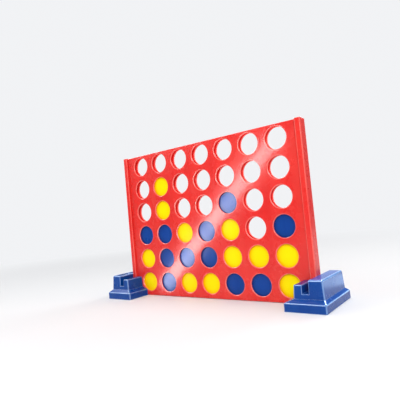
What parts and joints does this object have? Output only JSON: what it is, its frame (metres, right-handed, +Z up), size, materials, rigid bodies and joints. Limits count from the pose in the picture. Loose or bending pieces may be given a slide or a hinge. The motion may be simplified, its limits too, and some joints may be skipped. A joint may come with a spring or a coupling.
{
  "type": "four in a row frame",
  "caption": "Upright game frame with rows of round view holes, standing in two clip-on feet, with playing discs held in its columns and a sliding release bar underneath.",
  "frame": {"origin": "on the table, under the middle column, on the mid-plane of the grid", "axes": "+X to the right seen from the front, +Y towards the rear panel, +Z up"},
  "size_m": [0.2868, 0.07, 0.1821],
  "materials": {
    "frame": "injection-moulded glossy red plastic",
    "foot": "injection-moulded satin-gloss blue plastic",
    "release_bar": "injection-moulded blue plastic",
    "disc_blue": "moulded dark blue plastic",
    "disc_yellow": "moulded bright yellow plastic"
  },
  "bodies": {
    "frame": {"front_panel": "frame", "rear_panel": "frame", "column_dividers": "frame", "left_end_post": "frame", "right_end_post": "frame", "locating_pegs": "frame"},
    "release_bar": {"release_bar": "release_bar"},
    "left_foot": {"left_foot": "foot"},
    "right_foot": {"right_foot": "foot"},
    "col1_disc1": {"disc_col1_row6_yellow": "disc_yellow"},
    "col1_disc2": {"disc_col1_row5_yellow": "disc_yellow"},
    "col1_disc3": {"disc_col1_row4_blue": "disc_blue"},
    "col2_disc1": {"disc_col2_row6_blue": "disc_blue"},
    "col2_disc2": {"disc_col2_row5_blue": "disc_blue"},
    "col2_disc3": {"disc_col2_row4_blue": "disc_blue"},
    "col2_disc4": {"disc_col2_row3_yellow": "disc_yellow"},
    "col2_disc5": {"disc_col2_row2_yellow": "disc_yellow"},
    "col3_disc1": {"disc_col3_row6_yellow": "disc_yellow"},
    "col3_disc2": {"disc_col3_row5_blue": "disc_blue"},
    "col3_disc3": {"disc_col3_row4_yellow": "disc_yellow"},
    "col4_disc1": {"disc_col4_row6_yellow": "disc_yellow"},
    "col4_disc2": {"disc_col4_row5_blue": "disc_blue"},
    "col4_disc3": {"disc_col4_row4_blue": "disc_blue"},
    "col5_disc1": {"disc_col5_row6_blue": "disc_blue"},
    "col5_disc2": {"disc_col5_row5_yellow": "disc_yellow"},
    "col5_disc3": {"disc_col5_row4_yellow": "disc_yellow"},
    "col5_disc4": {"disc_col5_row3_blue": "disc_blue"},
    "col6_disc1": {"disc_col6_row6_blue": "disc_blue"},
    "col6_disc2": {"disc_col6_row5_yellow": "disc_yellow"},
    "col7_disc1": {"disc_col7_row6_yellow": "disc_yellow"},
    "col7_disc2": {"disc_col7_row5_yellow": "disc_yellow"},
    "col7_disc3": {"disc_col7_row4_blue": "disc_blue"}
  },
  "joints": [
    {"name": "release_bar_slide", "type": "slide", "parent": "frame", "child": "release_bar", "axis": [1, 0, 0], "range_m": [0, 0.0162]},
    {"name": "left_foot_pull", "type": "slide", "parent": "frame", "child": "left_foot", "axis": [0, 0, -1], "range_m": [0, 0.035]},
    {"name": "right_foot_pull", "type": "slide", "parent": "frame", "child": "right_foot", "axis": [0, 0, -1], "range_m": [0, 0.035]},
    {"name": "col1_disc1_lift", "type": "slide", "parent": "frame", "child": "col1_disc1", "axis": [0, 0, 1], "range_m": [0, 0.1845]},
    {"name": "col1_disc2_lift", "type": "slide", "parent": "col1_disc1", "child": "col1_disc2", "axis": [0, 0, 1], "range_m": [0, 0.1545]},
    {"name": "col1_disc3_lift", "type": "slide", "parent": "col1_disc2", "child": "col1_disc3", "axis": [0, 0, 1], "range_m": [0, 0.1245]},
    {"name": "col2_disc1_lift", "type": "slide", "parent": "frame", "child": "col2_disc1", "axis": [0, 0, 1], "range_m": [0, 0.1845]},
    {"name": "col2_disc2_lift", "type": "slide", "parent": "col2_disc1", "child": "col2_disc2", "axis": [0, 0, 1], "range_m": [0, 0.1545]},
    {"name": "col2_disc3_lift", "type": "slide", "parent": "col2_disc2", "child": "col2_disc3", "axis": [0, 0, 1], "range_m": [0, 0.1245]},
    {"name": "col2_disc4_lift", "type": "slide", "parent": "col2_disc3", "child": "col2_disc4", "axis": [0, 0, 1], "range_m": [0, 0.0945]},
    {"name": "col2_disc5_lift", "type": "slide", "parent": "col2_disc4", "child": "col2_disc5", "axis": [0, 0, 1], "range_m": [0, 0.0645]},
    {"name": "col3_disc1_lift", "type": "slide", "parent": "frame", "child": "col3_disc1", "axis": [0, 0, 1], "range_m": [0, 0.1845]},
    {"name": "col3_disc2_lift", "type": "slide", "parent": "col3_disc1", "child": "col3_disc2", "axis": [0, 0, 1], "range_m": [0, 0.1545]},
    {"name": "col3_disc3_lift", "type": "slide", "parent": "col3_disc2", "child": "col3_disc3", "axis": [0, 0, 1], "range_m": [0, 0.1245]},
    {"name": "col4_disc1_lift", "type": "slide", "parent": "frame", "child": "col4_disc1", "axis": [0, 0, 1], "range_m": [0, 0.1845]},
    {"name": "col4_disc2_lift", "type": "slide", "parent": "col4_disc1", "child": "col4_disc2", "axis": [0, 0, 1], "range_m": [0, 0.1545]},
    {"name": "col4_disc3_lift", "type": "slide", "parent": "col4_disc2", "child": "col4_disc3", "axis": [0, 0, 1], "range_m": [0, 0.1245]},
    {"name": "col5_disc1_lift", "type": "slide", "parent": "frame", "child": "col5_disc1", "axis": [0, 0, 1], "range_m": [0, 0.1845]},
    {"name": "col5_disc2_lift", "type": "slide", "parent": "col5_disc1", "child": "col5_disc2", "axis": [0, 0, 1], "range_m": [0, 0.1545]},
    {"name": "col5_disc3_lift", "type": "slide", "parent": "col5_disc2", "child": "col5_disc3", "axis": [0, 0, 1], "range_m": [0, 0.1245]},
    {"name": "col5_disc4_lift", "type": "slide", "parent": "col5_disc3", "child": "col5_disc4", "axis": [0, 0, 1], "range_m": [0, 0.0945]},
    {"name": "col6_disc1_lift", "type": "slide", "parent": "frame", "child": "col6_disc1", "axis": [0, 0, 1], "range_m": [0, 0.1845]},
    {"name": "col6_disc2_lift", "type": "slide", "parent": "col6_disc1", "child": "col6_disc2", "axis": [0, 0, 1], "range_m": [0, 0.1545]},
    {"name": "col7_disc1_lift", "type": "slide", "parent": "frame", "child": "col7_disc1", "axis": [0, 0, 1], "range_m": [0, 0.1845]},
    {"name": "col7_disc2_lift", "type": "slide", "parent": "col7_disc1", "child": "col7_disc2", "axis": [0, 0, 1], "range_m": [0, 0.1545]},
    {"name": "col7_disc3_lift", "type": "slide", "parent": "col7_disc2", "child": "col7_disc3", "axis": [0, 0, 1], "range_m": [0, 0.1245]}
  ]
}
